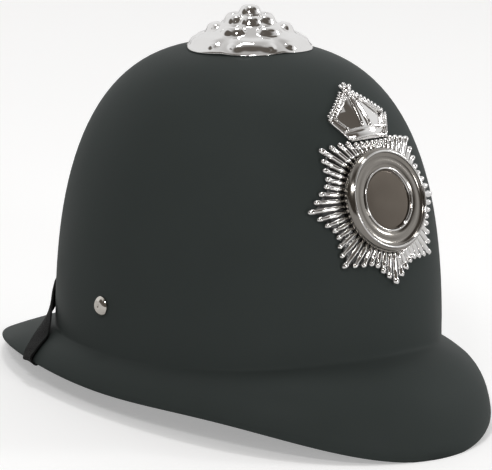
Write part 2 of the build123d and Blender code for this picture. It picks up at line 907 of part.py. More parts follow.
def stand_flat(shell):
    """Trim the peaks where the helmet stands, so that they meet the floor flat."""
    size = 4 * half_length
    return shell - Box(size, size, size, align=(Align.CENTER, Align.CENTER, Align.MAX))


def as_group(solids):
    return Compound(children=[Solid(solid.solid().wrapped) for solid in solids])


def build_parts():
    (long_plane, long_span), (cross_plane, cross_span) = web_planes()
    lift = web_thickness + web_crossing_gap
    return {
        "shell": make_shell(),
        "boss": make_boss(),
        "boss_stud": make_boss_stud(),
        "boss_washer": make_boss_washer(),
        "boss_nut": make_boss_nut(),
        "badge_star": make_badge_star(),
        "badge_ring": make_badge_ring(),
        "badge_disc": make_badge_disc(),
        "badge_crown": make_badge_crown(),
        "badge_posts": as_group(make_badge_posts()),
        "badge_washers": as_group(make_badge_washers()),
        "badge_nuts": as_group(make_badge_nuts()),
        "rivet_right": make_rivet(-1),
        "rivet_left": make_rivet(1),
        "rivet_collar_right": make_collar(-1),
        "rivet_collar_left": make_collar(1),
        "strap_tab_right": make_tab(-1),
        "strap_tab_left": make_tab(1),
        "chin_strap": make_chin_strap(),
        "headband": make_headband(),
        "sweatband": make_sweatband(),
        "headband_spacers": as_group(make_spacers()),
        "crown_strap_long": make_web(long_plane, long_span, web_top + lift),
        "crown_strap_cross": make_web(cross_plane, cross_span, web_top),
        "crown_strap_rivets": as_group(make_web_rivets()),
    }


def main():
    os.makedirs("parts", exist_ok=True)
    parts = build_parts()
    rest = rest_location(list(parts.values()))
    axis = (rest * Pos(0, rivet_setback, rivet_height)).position
    print("tipped back by", rest_turn(), "shift", rest.position, "strap axis", axis)
    for name, part in parts.items():
        placed = rest * part
        if name == "shell":
            placed = stand_flat(placed)
        export_step(placed, os.path.join("parts", name + ".step"))


main()
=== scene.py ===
import json
from math import atan2, cos, exp, hypot, log, pi, radians, sin, sqrt
import bmesh
import bpy
from mathutils import Matrix, Vector


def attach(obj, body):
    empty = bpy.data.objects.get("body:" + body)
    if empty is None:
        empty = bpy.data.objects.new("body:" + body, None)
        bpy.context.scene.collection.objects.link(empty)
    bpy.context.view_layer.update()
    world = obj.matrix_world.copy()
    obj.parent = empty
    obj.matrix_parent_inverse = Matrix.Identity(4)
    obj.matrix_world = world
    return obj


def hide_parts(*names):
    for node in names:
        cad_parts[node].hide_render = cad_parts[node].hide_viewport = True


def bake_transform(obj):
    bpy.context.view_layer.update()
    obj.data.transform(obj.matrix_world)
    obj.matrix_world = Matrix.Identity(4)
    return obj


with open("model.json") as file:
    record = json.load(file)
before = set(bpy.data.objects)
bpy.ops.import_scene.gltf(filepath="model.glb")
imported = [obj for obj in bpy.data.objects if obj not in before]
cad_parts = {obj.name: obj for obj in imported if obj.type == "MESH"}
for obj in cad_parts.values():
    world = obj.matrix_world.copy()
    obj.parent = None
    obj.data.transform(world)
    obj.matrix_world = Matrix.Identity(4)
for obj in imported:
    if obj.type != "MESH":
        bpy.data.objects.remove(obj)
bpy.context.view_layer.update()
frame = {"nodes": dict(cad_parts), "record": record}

scene = bpy.context.scene
nodes = frame["nodes"]

# Shapes are worked out in millimetres on the helmet as worn, front to -Y, then tipped
# back on its peaks and scaled to metres.
metres = 0.001
tipped = Matrix.Rotation(radians(-5.530962), 4, "X")
stood = Matrix.Translation(Vector((0, -2.51176, 22.5555)))
to_rest = Matrix.Scale(metres, 4) @ stood @ tipped

half_width = 94.0
half_length = 110.3
dome_height = 160.9
dome_setback = 3.5
height_power = 2.645
plan_power = 2.9
wall = 2.2
# Stations round the helmet, from the front to the back.
seam_heights = (13.0, 8.3, 6.6, 8.6, 10.0)
brim_reaches = (34.7, 21.8, 11.8, 25.8, 36.9)
edge_heights = (-36.4, -18.7, -10.1, -0.9, -6.5)
# Shape of the brim's curve at the front, the side and the back.
root_drop_shares = (0.07, 0.05, 0.20)
knee_reach_shares = (0.91, 0.80, 0.59)
knee_drop_shares = (0.09, 0.31, 0.64)
badge_height = 91.0
rivet_place = Vector((90.93, 14.1, 31.1))
seat_gap = 0.25
slope_probe = 0.01
search_inside, search_halvings = -10.0, 36


def cosine_terms(stations):
    """Cosine series that passes through evenly spaced stations."""
    spans = len(stations) - 1
    terms = []
    for order in range(spans + 1):
        total = 0
        for place, value in enumerate(stations):
            weight = 0.5 if place in (0, spans) else 1
            total += weight * value * cos(pi * order * place / spans)
        terms.append((1 if order in (0, spans) else 2) * total / spans)
    return terms


seam_terms = cosine_terms(seam_heights)
reach_terms = cosine_terms(brim_reaches)
edge_terms = cosine_terms(edge_heights)


def around(terms, bearing):
    return sum(term * cos(order * bearing) for order, term in enumerate(terms))


def lip_share(shares, bearing):
    front, side, back = shares
    facing = cos(bearing)
    return side + ((front if facing > 0 else back) - side) * facing ** 2


def plan_share(height, skin):
    level = min(max(height / (dome_height + skin), 0), 1)
    return (1 - level ** height_power) ** (1 / plan_power)


def dome_point(bearing, height, skin=0):
    """Place on the dome, or on the surface that lies skin outside it."""
    share = plan_share(height, skin)
    x = (half_width + skin) * share * sin(bearing)
    return Vector((x, dome_setback - (half_length + skin) * share * cos(bearing), height))


def brim_point(bearing, along, skin=0, beyond=0):
    """Place on the brim, along from 0 at the dome to 1 at its edge."""
    seam = around(seam_terms, bearing)
    drop = seam - around(edge_terms, bearing)
    reach = around(reach_terms, bearing)
    root_drop = lip_share(root_drop_shares, bearing)
    knee_reach = lip_share(knee_reach_shares, bearing)
    knee_drop = lip_share(knee_drop_shares, bearing)
    rest = 1 - along
    out = 3 * rest * along ** 2 * knee_reach + along ** 3
    down = 3 * rest ** 2 * along * root_drop + 3 * rest * along ** 2 * knee_drop + along ** 3
    out_rate = 6 * rest * along * knee_reach + 3 * along ** 2 * (1 - knee_reach)
    down_rate = 3 * rest ** 2 * root_drop + 6 * rest * along * (knee_drop - root_drop)
    down_rate += 3 * along ** 2 * (1 - knee_drop)
    run = Vector((reach * out_rate, -drop * down_rate)).normalized()
    outward = Vector((sin(bearing) / half_width, -cos(bearing) / half_length)).normalized()
    foot = Vector((half_width * sin(bearing), dome_setback - half_length * cos(bearing)))
    flat = foot + outward * (reach * out - skin * run.y + beyond * run.x)
    return Vector((flat.x, flat.y, seam - drop * down + skin * run.x + beyond * run.y))


def above_skin(point, skin=0):
    """Below 0 inside the dome, above 0 outside it."""
    x = point.x / (half_width + skin)
    y = (point.y - dome_setback) / (half_length + skin)
    return hypot(x, y) - plan_share(point.z, skin)


def dome_normal(point, skin=0):
    slope = []
    for axis in range(3):
        step = Vector((0, 0, 0))
        step[axis] = slope_probe
        slope.append(above_skin(point + step, skin) - above_skin(point - step, skin))
    return Vector(slope).normalized()


class Seat:
    """A plane that touches the dome, with its own across, up and out directions."""

    def __init__(self, origin, out, across=(1, 0, 0)):
        self.origin = Vector(origin)
        self.out = Vector(out).normalized()
        self.across = (Vector(across) - self.out * self.out.dot(Vector(across))).normalized()
        self.up = self.out.cross(self.across)

    def at(self, across, up, out=0):
        return self.origin + self.across * across + self.up * up + self.out * out

    def on_dome(self, across, up, skin=0):
        """Place on the dome straight behind a place on the plane."""
        start = self.at(across, up)
        near, far = search_inside, half_width / 2
        for _ in range(search_halvings):
            middle = (near + far) / 2
            if above_skin(start - self.out * middle, skin) > 0:
                near = middle
            else:
                far = middle
        return start - self.out * near


front_touch = dome_point(0, badge_height)
badge_seat = Seat(front_touch, dome_normal(front_touch))


# ---- camera and studio
photo_width, photo_height = 492, 470
focal_pixels, centre_pixels = 4708.85, (252.634, 233.419)
# Azimuth, height and roll.
camera_angles = radians(-43.471), radians(10.459), radians(0.51)
camera_distance, camera_target = 2473.97, Vector((0, 0, 60))
sensor_width, camera_clip = 36, 20

# Lamps: name, place, diameter, power.
lamps = (
    ("key", (-1.3, -0.7, 1.4), 0.36, 8),
    ("fill", (1.6, -0.8, 1.0), 0.36, 5),
    ("top", (0.1, 0.4, 1.9), 0.4, 6),
    ("low", (-0.2, -1.9, 0.4), 0.4, 6),
)
lamp_target = Vector((0, 0, 0.1))

# Parts of the room that the plating mirrors: direction, then where each starts and is full.
front_part = ((-0.17, -0.98, 0), 0.35, 0.90)
corner_part = ((-0.56, -0.66, 0.50), 0.45, 0.80)
patch_part = ((0.359, -0.428, 0.829), 0.93, 0.97)
side_part = ((-0.85, -0.50, 0), 0.05, 0.25)
# Rises that bound the dark band at the side and start the dimmer zenith.
band_foot, band_top, zenith_rise = (0.0, 0.05), (0.72, 0.58), (0.62, 1.0)
room_white, zenith_tone = (1, 1, 1), (0.60, 0.59, 0.58)
front_tone, dark_tone = (0.32, 0.31, 0.30), (0.13, 0.115, 0.10)
room_strength = 0.85

floor_size = 6
floor_lift = 0.35


def add_object(name, data):
    made = bpy.data.objects.new(name, data)
    scene.collection.objects.link(made)
    return made


def add_mesh(name, bm):
    """Object made from a bmesh, which is then freed."""
    mesh = bpy.data.meshes.new(name)
    bm.to_mesh(mesh)
    bm.free()
    return add_object(name, mesh)


def aim_camera():
    """Camera at the photograph's angle, worked out about the helmet as worn."""
    azimuth, height, roll = camera_angles
    back = Vector((sin(azimuth) * cos(height), -cos(azimuth) * cos(height), sin(height)))
    level = Vector((cos(azimuth), sin(azimuth), 0))
    rise = back.cross(level)
    right = level * cos(roll) + rise * sin(roll)
    up = rise * cos(roll) - level * sin(roll)
    turn = Matrix((right, up, back)).transposed().to_4x4()
    pose = stood @ tipped @ Matrix.Translation(camera_target + back * camera_distance) @ turn
    pose.translation = pose.translation * metres
    data = bpy.data.cameras.new("photo_camera")
    data.sensor_width = sensor_width
    data.lens = sensor_width * focal_pixels / photo_width
    data.shift_x = (photo_width / 2 - centre_pixels[0]) / photo_width
    data.shift_y = (centre_pixels[1] - photo_height / 2) / photo_width
    data.clip_end = camera_clip
    scene.camera = add_object("photo_camera", data)
    scene.camera.matrix_world = pose


def add_lamp(name, place, size, power):
    data = bpy.data.lights.new(name, "AREA")
    data.shape = "DISK"
    data.size = size
    data.energy = power
    lamp = add_object(name, data)
    lamp.location = place
    lamp.rotation_euler = (lamp_target - Vector(place)).to_track_quat("-Z", "Y").to_euler()


def fill_inputs(tree, node, values):
    """Links each input to a socket, or sets it to a constant."""
    for label, value in values.items():
        if isinstance(value, bpy.types.NodeSocket):
            tree.links.new(value, node.inputs[label])
        else:
            node.inputs[label].default_value = value


def map_range(tree, value, source, target, kind="LINEAR"):
    node = tree.nodes.new("ShaderNodeMapRange")
    node.interpolation_type = kind
    labels = ("Value", "From Min", "From Max", "To Min", "To Max")
    fill_inputs(tree, node, dict(zip(labels, (value, *source, *target))))
    return node.outputs["Result"]


def ease(tree, value, start, end):
    """Smooth step from 0 at start to 1 at end."""
    if start < end:
        return map_range(tree, value, (start, end), (0, 1), "SMOOTHSTEP")
    return map_range(tree, value, (end, start), (1, 0), "SMOOTHSTEP")


def facing_part(tree, way, towards, start, end):
    """Share of the room round one direction."""
    node = tree.nodes.new("ShaderNodeVectorMath")
    node.operation = "DOT_PRODUCT"
    fill_inputs(tree, node, {0: way, 1: towards})
    return ease(tree, node.outputs["Value"], start, end)


def room_colour(tree):
    """Colour of the room in each direction, with the dark parts that the plating mirrors."""
    way = tree.nodes.new("ShaderNodeTexCoord").outputs["Generated"]
    front = facing_part(tree, way, *front_part)
    corner = facing_part(tree, way, *corner_part)
    patch = facing_part(tree, way, *patch_part)
    split = tree.nodes.new("ShaderNodeSeparateXYZ")
    fill_inputs(tree, split, {0: way})
    rise = split.outputs["Z"]
    low, high = ease(tree, rise, *band_foot), ease(tree, rise, *band_top)
    side = facing_part(tree, way, *side_part)
    band = add_math(tree, "MULTIPLY", add_math(tree, "MULTIPLY", low, high), side)
    shade = add_math(tree, "MAXIMUM", add_math(tree, "MAXIMUM", corner, band), patch)
    upper_tone = blend_colours(tree, ease(tree, rise, *zenith_rise), room_white, zenith_tone)
    room_tone = blend_colours(tree, front, upper_tone, front_tone)
    return blend_colours(tree, shade, room_tone, dark_tone)


def light_studio():
    """White for the camera, and a room with darker parts for all other rays."""
    scene.view_settings.view_transform = "Standard"
    world = bpy.data.worlds.new("studio")
    scene.world = world
    world.use_nodes = True
    tree = world.node_tree
    tree.nodes.clear()
    out = tree.nodes.new("ShaderNodeOutputWorld")
    seen = tree.nodes.new("ShaderNodeBackground")
    fill_inputs(tree, seen, {"Color": (1, 1, 1, 1)})
    room = tree.nodes.new("ShaderNodeBackground")
    fill_inputs(tree, room, {"Color": room_colour(tree), "Strength": room_strength})
    path = tree.nodes.new("ShaderNodeLightPath")
    mix = tree.nodes.new("ShaderNodeMixShader")
    fill_inputs(tree, mix, {
        "Fac": path.outputs["Is Camera Ray"],
        1: room.outputs["Background"],
        2: seen.outputs["Background"],
    })
    fill_inputs(tree, out, {"Surface": mix.outputs["Shader"]})
    for lamp in lamps:
        add_lamp(*lamp)


def lay_floor():
    bm = bmesh.new()
    bmesh.ops.create_grid(bm, x_segments=2, y_segments=2, size=floor_size)
    floor = add_mesh("floor", bm)
    floor.data.materials.append(plain_floor())


# ---- finishes
# Grained finishes: slot, material, dark and light tone, roughness from and to, metallic,
# grain scale, patch scale, bump in metres, specular level where it isn't the usual one.
grained_finishes = (
    ("shell_black", "moulded_black", (0.039, 0.0465, 0.0448), (0.046, 0.0545, 0.0525),
     (0.46, 0.56), 0.0, 1300, 22, 0.00004, 0.05),
    ("bright_chrome", "bright_plating", (0.80, 0.79, 0.78), (0.88, 0.87, 0.86),
     (0.05, 0.11), 1.0, 700, 90, 0.000004),
    ("dark_disc", "smoked_plating", (0.13, 0.11, 0.092), (0.19, 0.165, 0.14),
     (0.12, 0.2), 1.0, 500, 60, 0.000004),
    # Darker plating for the ring channel, also laid on the flange as painted shade.
    ("ring_channel", "tinted_plating", (0.24, 0.225, 0.205), (0.32, 0.30, 0.275),
     (0.12, 0.2), 1.0, 500, 60, 0.000004),
    # Plating coloured near black as painted shade, for the star's base plate between the rays.
    ("shaded_plating", "shaded_plating", (0.05, 0.05, 0.05), (0.08, 0.08, 0.08),
     (0.25, 0.35), 1.0, 500, 60, 0.000004),
    ("rivet_nickel", "polished_nickel", (0.60, 0.57, 0.52), (0.70, 0.67, 0.62),
     (0.06, 0.14), 1.0, 900, 200, 0.000006),
    ("plain_steel", "zinc_plating", (0.42, 0.43, 0.44), (0.60, 0.60, 0.58),
     (0.25, 0.42), 1.0, 600, 150, 0.00001),
    ("band_plastic", "band_plastic", (0.03, 0.03, 0.03), (0.045, 0.045, 0.045),
     (0.45, 0.6), 0.0, 900, 40, 0.00003),
    ("foam_grey", "closed_foam", (0.07, 0.07, 0.072), (0.12, 0.12, 0.122),
     (0.8, 0.95), 0.0, 1400, 90, 0.0003),
)
# Woven finishes: slot, material, dark and light tone, thread and rib width in millimetres.
woven_finishes = (
    ("elastic_black", "black_elastic", (0.002, 0.002, 0.002), (0.010, 0.0105, 0.0105), 0.55, 0.9),
    ("web_black", "black_webbing", (0.006, 0.006, 0.006), (0.035, 0.035, 0.036), 1.0, 1.4),
)
hide_tones = ((0.17, 0.085, 0.04), (0.27, 0.15, 0.08))
floor_look = (
    (0.80, 0.80, 0.80), (0.83, 0.83, 0.83), (0.75, 0.85), 0.0, 300, 3, 0.00002, 0.1,
)
grain_detail, patch_detail = 3, 2
noise_range = (0.3, 0.7)
weave_looks = {"Roughness": 0.85, "Sheen Weight": 0.05, "Specular IOR Level": 0.2}
weave_bump = 0.0003
pore_scale, pore_width, hide_patch, hide_bump = 900, 0.2, 60, 0.00015
hide_rough = (0.42, 0.6)

groups = {}
finishes = {}


def new_group(name, inputs, outputs):
    """Shader node group with named float inputs and outputs."""
    tree = bpy.data.node_groups.new(name, "ShaderNodeTree")
    for label, value in inputs:
        socket = tree.interface.new_socket(label, in_out="INPUT", socket_type="NodeSocketFloat")
        socket.default_value = value
    for label in outputs:
        tree.interface.new_socket(label, in_out="OUTPUT", socket_type="NodeSocketFloat")
    entry = tree.nodes.new("NodeGroupInput")
    leave = tree.nodes.new("NodeGroupOutput")
    groups[name] = tree
    return tree, entry, leave


def add_math(tree, operation, *values):
    node = tree.nodes.new("ShaderNodeMath")
    node.operation = operation
    fill_inputs(tree, node, dict(enumerate(values)))
    return node.outputs[0]


def add_wave(tree, value):
    """Row of rounded ridges, one to each whole number."""
    return add_math(tree, "ABSOLUTE", add_math(tree, "SINE", add_math(tree, "MULTIPLY", value, pi)))


def add_noise(tree, coords, scale, detail):
    node = tree.nodes.new("ShaderNodeTexNoise")
    fill_inputs(tree, node, {"Vector": coords, "Scale": scale, "Detail": detail})
    return node.outputs["Fac"]


def make_grain_group():
    """Fine grain over broad patches, for moulded and cast surfaces."""
    inputs = (("Grain Scale", 1500), ("Patch Scale", 30))
    tree, entry, leave = new_group("fine_grain", inputs, ("Grain", "Patch"))
    coords = tree.nodes.new("ShaderNodeTexCoord").outputs["Object"]
    grain = add_noise(tree, coords, entry.outputs["Grain Scale"], grain_detail)
    patch = add_noise(tree, coords, entry.outputs["Patch Scale"], patch_detail)
    fill_inputs(tree, leave, {"Grain": grain, "Patch": patch})


def make_weave_group():
    """Over-and-under threads from the ribbon's own UV map, in millimetres."""
    inputs = (("Thread Width", 0.5), ("Rib Width", 1.0))
    tree, entry, leave = new_group("woven_ribbon", inputs, ("Height",))
    split = tree.nodes.new("ShaderNodeSeparateXYZ")
    fill_inputs(tree, split, {0: tree.nodes.new("ShaderNodeUVMap").outputs["UV"]})
    across = add_math(tree, "DIVIDE", split.outputs["X"], entry.outputs["Rib Width"])
    along = add_math(tree, "DIVIDE", split.outputs["Y"], entry.outputs["Thread Width"])
    rib = add_wave(tree, across)
    pick = add_wave(tree, add_math(tree, "ADD", along, add_math(tree, "FLOOR", across)))
    fill_inputs(tree, leave, {"Height": add_math(tree, "MULTIPLY", rib, pick)})


def make_hide_group():
    """Leather pores between soft creases."""
    tree, entry, leave = new_group("smooth_hide", (("Pore Scale", 900),), ("Height", "Tone"))
    coords = tree.nodes.new("ShaderNodeTexCoord").outputs["Object"]
    cells = tree.nodes.new("ShaderNodeTexVoronoi")
    cells.feature = "DISTANCE_TO_EDGE"
    fill_inputs(tree, cells, {"Vector": coords, "Scale": entry.outputs["Pore Scale"]})
    creases = add_math(tree, "MINIMUM", cells.outputs["Distance"], pore_width)
    tone = add_noise(tree, coords, hide_patch, grain_detail)
    fill_inputs(tree, leave, {"Height": creases, "Tone": tone})


def blend_colours(tree, fac, dark, light):
    """Mix of two colours, each a constant or a socket."""
    node = tree.nodes.new("ShaderNodeMix")
    node.data_type = "RGBA"
    dark, light = ((*tone, 1) if isinstance(tone, tuple) else tone for tone in (dark, light))
    fill_inputs(tree, node, {"Factor": fac, "A": dark, "B": light})
    return node.outputs["Result"]


def make_finish(name, group, values, outputs, tones, bump, looks, rough=None):
    """Material that takes its tone, gloss and bump from two outputs of a group."""
    material = bpy.data.materials.new(name)
    material.use_nodes = True
    tree = material.node_tree
    detail = tree.nodes.new("ShaderNodeGroup")
    detail.node_tree = groups[group]
    fill_inputs(tree, detail, values)
    tone, height = (detail.outputs[label] for label in outputs)
    raised = tree.nodes.new("ShaderNodeBump")
    fill_inputs(tree, raised, {"Distance": bump, "Height": height})
    colour = blend_colours(tree, tone, *tones)
    looks = {**looks, "Base Color": colour, "Normal": raised.outputs["Normal"]}
    if rough:
        looks["Roughness"] = map_range(tree, tone, noise_range, rough)
    fill_inputs(tree, tree.nodes["Principled BSDF"], looks)
    return material


def grained(name, dark, light, rough, metallic, grain, patch, bump, gleam=0.5):
    """Finish with fine grain, uneven tone and uneven gloss."""
    values = {"Grain Scale": grain, "Patch Scale": patch}
    looks = {"Metallic": metallic, "Specular IOR Level": gleam}
    outputs = ("Patch", "Grain")
    return make_finish(name, "fine_grain", values, outputs, (dark, light), bump, looks, rough)


def woven(name, dark, light, thread, rib):
    """Ribbon of ribs crossed by threads."""
    values = {"Thread Width": thread, "Rib Width": rib}
    outputs, tones = ("Height", "Height"), (dark, light)
    return make_finish(name, "woven_ribbon", values, outputs, tones, weave_bump, weave_looks)


def hide(name):
    """Leather with pores, uneven tone and uneven gloss."""
    values, outputs = {"Pore Scale": pore_scale}, ("Tone", "Height")
    return make_finish(name, "smooth_hide", values, outputs, hide_tones, hide_bump, {}, hide_rough)


def plain_floor():
    """Matt white floor, lifted a little where the camera sees it."""
    floor = grained("pale_floor", *floor_look)
    tree = floor.node_tree
    path = tree.nodes.new("ShaderNodeLightPath")
    lift = add_math(tree, "MULTIPLY", path.outputs["Is Camera Ray"], floor_lift)
    lifted = {"Emission Color": (1, 1, 1, 1), "Emission Strength": lift}
    fill_inputs(tree, tree.nodes["Principled BSDF"], lifted)
    return floor


def make_finishes():
    make_grain_group()
    make_weave_group()
    make_hide_group()
    for slot, name, *look in grained_finishes:
        finishes[slot] = grained(name, *look)
    for slot, name, *look in woven_finishes:
        finishes[slot] = woven(name, *look)
    finishes["sweat_leather"] = hide("tan_hide")


# ---- building helpers
weld = 0.001
corner_passes, edge_steps = 3, 4


def finish_piece(name, bm, slot_name, replaced, second=None, bend=None):
    """Turns a bmesh in worn millimetres into a piece at rest, riding on the helmet unless bend is
    given, when its place is only baked in.
    """
    bm.transform(to_rest)
    bmesh.ops.recalc_face_normals(bm, faces=bm.faces)
    piece = add_mesh(name, bm)
    piece.data.materials.append(finishes[slot_name])
    if second:
        piece.data.materials.append(finishes[second])
    piece.data.shade_smooth()
    if bend:
        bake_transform(piece)
    else:
        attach(piece, "helmet")
    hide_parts(*replaced)


def soften(bm, verts, passes):
    for _ in range(passes):
        bmesh.ops.smooth_vert(
            bm, verts=verts, factor=0.5, use_axis_x=True, use_axis_y=True, use_axis_z=True,
        )


def close_rim(bm, near=None, reach=0):
    """Caps the open edges, or only those within reach of a place."""
    edges = [edge for edge in bm.edges if edge.is_boundary]
    if near is not None:
        edges = [edge for edge in edges if (edge.verts[0].co - near).length < reach]
    bmesh.ops.holes_fill(bm, edges=edges, sides=0)


def arc(centre, reach, rise, start, end, steps):
    """Places along part of an ellipse."""
    places = []
    for step in range(steps + 1):
        turn = start + (end - start) * step / steps
        places.append((centre[0] + reach * cos(turn), centre[1] + rise * sin(turn)))
    return places


def part_way(start, end, share):
    return tuple(a + (b - a) * share for a, b in zip(start, end))


def start_row(bm, points, closed):
    """First row of a strip: its verts and the edges between them."""
    row = [bm.verts.new(point) for point in points]
    partners = row[1:] + row[:1] if closed else row[1:]
    return row, [bm.edges.new(pair) for pair in zip(row, partners)]


def next_row(bm, row, edges):
    """Row grown from the last one by an extrusion, in the same order."""
    made = bmesh.ops.extrude_edge_only(bm, edges=edges)["geom"]
    old = set(row)
    partners = {
        edge.other_vert(item): item
        for item in made if isinstance(item, bmesh.types.BMVert)
        for edge in item.link_edges if edge.other_vert(item) in old
    }
    row = [partners[vert] for vert in row]
    fresh = set(row)
    edges = [
        item for item in made
        if isinstance(item, bmesh.types.BMEdge) and set(item.verts) <= fresh
    ]
    return row, edges


def spun(rows, turns, place, closed=False):
    """Rows of quads spun round an upright axis, each point moved to place(bearing, row)."""
    bm = bmesh.new()
    chain, edges = start_row(bm, [(1, 0, -row) for row in range(rows)], closed)
    bmesh.ops.spin(
        bm, geom=chain + edges, cent=(0, 0, 0), axis=(0, 0, 1), angle=2 * pi, steps=turns,
        use_merge=True,
    )
    for vert in bm.verts:
        bearing = atan2(vert.co.x, -vert.co.y)
        vert.co = place(bearing, round(-vert.co.z))
    return bm


def smooth_steps(points, ways, spacing):
    """Even steps of place and facing through the stations, corners rounded off."""
    run = []
    for start, end, way, next_way in zip(points, points[1:], ways, ways[1:]):
        steps = max(round((end - start).length / spacing), 1)
        for step in range(steps):
            run.append((start.lerp(end, step / steps), way.lerp(next_way, step / steps)))
    run.append((points[-1], ways[-1]))
    for _ in range(corner_passes):
        inner = []
        for before, here, after in zip(run, run[1:], run[2:]):
            place = (before[0] + 2 * here[0] + after[0]) / 4
            inner.append((place, (before[1] + 2 * here[1] + after[1]) / 4))
        run = [run[0]] + inner + [run[-1]]
    return [(place, way.normalized()) for place, way in run]


def ribbon(stations, width, thickness, closed_ends=True):
    """Flat strap with rounded edges through (place, facing) stations, UV in millimetres."""
    bm = bmesh.new()
    uv = bm.loops.layers.uv.new("UVMap")
    corner = thickness / 2
    section = []
    for side in (1, -1):
        edge = arc((width / 2 - corner, 0), corner, corner, -pi / 2, pi / 2, edge_steps)
        section += [(side * x, side * y) for x, y in edge]
        section.append((0, side * corner))
    tags = {}
    row, edges = start_row(bm, [(x, y, 0) for x, y in section], closed=True)
    first = row
    length = 0.0
    for index, (place, facing) in enumerate(stations):
        before = stations[max(index - 1, 0)][0]
        after = stations[min(index + 1, len(stations) - 1)][0]
        along = (after - before).normalized()
        across = along.cross(facing).normalized()
        rise = across.cross(along)
        if index:
            length += (place - stations[index - 1][0]).length
            row, edges = next_row(bm, row, edges)
        for vert, (x, y) in zip(row, section):
            vert.co = place + across * x + rise * y
            tags[vert] = (x, length)
    if closed_ends:
        bm.faces.new(list(reversed(first)))
        bm.faces.new(row)
    for face in bm.faces:
        for corner_loop in face.loops:
            corner_loop[uv].uv = tags[corner_loop.vert]
    return bm


# ---- shell
dome_rows, brim_rows, shell_turns = 44, 18, 144
stud_hole = 3.2
top_share = 0.995
lip_rows, lip_bulge = 3, 0.6
crease_height, crease_reach, crease_passes = 9, 1.12, 5


def shell_skin(bearing, step, skin):
    """Place on one face of the shell: 0 at the stud hole, then down the dome and the brim."""
    if step == 0:
        x, y = stud_hole * sin(bearing), dome_setback - stud_hole * cos(bearing)
        return Vector((x, y, dome_height + skin))
    if step <= dome_rows:
        share = (1 + cos(pi * step / dome_rows)) / 2 * top_share
        seam = around(seam_terms, bearing)
        height = seam + (dome_height + skin - seam) * sin(share * pi / 2) ** (2 / height_power)
        return dome_point(bearing, height, skin)
    return brim_point(bearing, (step - dome_rows) / brim_rows, skin)


def near_seam(point):
    """Whether a place lies by the crease where the dome meets the brim."""
    x, y = point.x / half_width, (point.y - dome_setback) / half_length
    seam = around(seam_terms, atan2(x, -y))
    return abs(point.z - seam) < crease_height and hypot(x, y) < crease_reach


def make_shell():
    """Moulded shell, its crease eased and its lowest places set on the standing plane."""
    count = dome_rows + brim_rows + 1

    def place(bearing, row):
        if row < count:
            return shell_skin(bearing, row, 0)
        row -= count
        if row < lip_rows:
            turn = pi * (row + 1) / (lip_rows + 1)
            skin = -wall / 2 + wall / 2 * cos(turn)
            return brim_point(bearing, 1, skin, wall / 2 * sin(turn) * lip_bulge)
        return shell_skin(bearing, count - 1 - (row - lip_rows), -wall)

    bm = spun(2 * count + lip_rows, shell_turns, place, closed=True)
    soften(bm, [vert for vert in bm.verts if near_seam(vert.co)], crease_passes)
    for vert in bm.verts:
        rest = to_rest @ vert.co
        if rest.z < 0:
            vert.co = to_rest.inverted() @ Vector((rest.x, rest.y, 0))
    finish_piece("moulded_shell", bm, "shell_black", ["shell"])


# ---- boss
boss_radius, boss_petals, boss_turn = 34.0, 6, -41.0
boss_rows, boss_turns, boss_row_power = 72, 192, 0.9
# Cone under the lobes: height, power, how far it is sunk.
cone_height, cone_power, cone_sink = 18.6, 0.95, 0.5
# Lobes: distance out, crest height, tilt, half width, half length, lip drop, bearings.
lobe_tiers = (
    (23.2, 5.7, 0.24, 12.6, 8.2, 2.6, (0,)),
    (29.2, 3.5, 0.30, 4.8, 3.2, 2.6, (-16, 16)),
    (18.4, 10.6, 0.16, 7.2, 4.6, 3.4, (30,)),
    (9.8, 15.3, 0.14, 5.7, 4.6, 3.2, (0,)),
    (0.0, 19.9, 0.0, 5.6, 5.6, 2.8, (0,)),
)
lobe_lip_power, lobe_limit = 2.5, 2
lobe_melt = 0.22
petal_notch = 0.035
boss_gap, boss_soft_drop = 0.3, 1
rim_drop, rim_power = 2.0, 8
under_start, under_step = 0.95, 0.30


def boss_height(x, y):
    """Height of the rosette at a place in plan, its lobes melted together."""
    reach = hypot(x, y)
    heights = [cone_height * (1 - min(reach / boss_radius, 1)) ** cone_power - cone_sink]
    for out, crest, tilt, half, long, lip, bearings in lobe_tiers:
        for number in range(boss_petals if out else 1):
            for bearing in bearings:
                turn = radians(boss_turn + bearing + 360 / boss_petals * number)
                along = x * sin(turn) - y * cos(turn) - out
                across = x * cos(turn) + y * sin(turn)
                edge = (along / long) ** 2 + (across / half) ** 2
                if edge < lobe_limit:
                    heights.append(crest - tilt * along - lip * edge ** lobe_lip_power)
    top = max(heights)
    return top + lobe_melt * log(sum(exp((height - top) / lobe_melt) for height in heights))


def crown_level(x, y):
    """Height of the dome under a place in plan."""
    share = hypot(x / half_width, y / half_length)
    return dome_height * (1 - share ** plan_power) ** (1 / height_power)


def make_boss():
    """Rosette with a scalloped rim, closed underneath where it meets the dome."""

    def place(bearing, row):
        petal = abs(cos(boss_petals / 2 * (bearing - radians(boss_turn))))
        edge = boss_radius * (1 - petal_notch * (1 - petal))
        if row < boss_rows:
            reach = edge * (row / (boss_rows - 1)) ** boss_row_power
        else:
            reach = edge * (under_start - under_step * (row - boss_rows))
        x, y = reach * sin(bearing), -reach * cos(bearing)
        seat = crown_level(x, y) + boss_gap
        if row >= boss_rows - 1:
            return Vector((x, dome_setback + y, seat))
        top = dome_height + boss_height(x, y) - rim_drop * (reach / boss_radius) ** rim_power
        return Vector((x, dome_setback + y, max(top, seat)))

    bm = spun(boss_rows + 2, boss_turns, place)
    bmesh.ops.remove_doubles(bm, verts=bm.verts, dist=weld)
    soften(bm, [vert for vert in bm.verts if vert.co.z > dome_height - boss_soft_drop], 1)
    close_rim(bm)
    finish_piece("rose_boss", bm, "bright_chrome", ["boss"])


# ---- badge
star_points, rays_per_point = 8, 7
star_radius, star_waist, star_waist_power = 43.5, 34.8, 0.8
